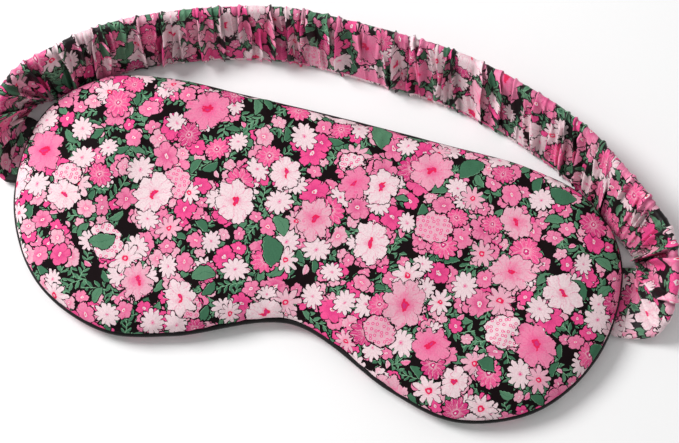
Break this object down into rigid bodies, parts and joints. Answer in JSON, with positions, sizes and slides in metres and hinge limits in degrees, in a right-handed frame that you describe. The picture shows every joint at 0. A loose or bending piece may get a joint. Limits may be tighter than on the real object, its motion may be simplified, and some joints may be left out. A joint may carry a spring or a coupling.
{
  "type": "sleep mask",
  "caption": "Padded silk sleep mask in a floral print with a nose notch, black corded piping and a gathered elastic strap that swings at its two sewn ends.",
  "frame": {"origin": "midway between the strap's two sewn ends, on the surface that the mask's back rests on", "axes": "+X from the wearer's right strap end to the left one as the face is looked at with the notch towards the viewer, +Y from the nose notch to the straight top edge, +Z out of the printed face"},
  "size_m": [0.2458, 0.1271, 0.0222],
  "materials": {
    "printed_silk": "silk satin printed with pink and white flowers and green leaves on a near-black ground",
    "black_satin": "black satin bias strip with a soft sheen",
    "black_cotton": "matt black cotton",
    "wadding": "white polyester wadding",
    "cotton_cord": "twisted white cotton cord",
    "black_thread": "black polyester sewing thread",
    "elastic": "white woven elastic"
  },
  "bodies": {
    "mask": {"front_panel": "printed_silk", "back_panel": "printed_silk", "wadding": "wadding", "blackout_lining": "black_cotton", "piping_cover": "black_satin", "piping_cord": "cotton_cord", "seam_thread": "black_thread", "left_seam_tab": "printed_silk", "right_seam_tab": "printed_silk", "left_end_stitches": "black_thread", "right_end_stitches": "black_thread"},
    "strap_ends": {"left_strap_end": "printed_silk", "right_strap_end": "printed_silk"},
    "strap": {"strap_sleeve": "printed_silk", "strap_elastic": "elastic"}
  },
  "joints": [
    {"name": "strap_swing", "type": "hinge", "parent": "mask", "child": "strap_ends", "pos_m": [0, 0, 0.0019], "axis": [1, 0, 0], "range_deg": [-95, 139]},
    {"name": "strap_stretch", "type": "slide", "parent": "strap_ends", "child": "strap", "axis": [0, 1, 0], "range_m": [0, 0.06], "stiffness_N_per_m": 60, "deforming": ["strap_sleeve", "strap_elastic"]}
  ]
}
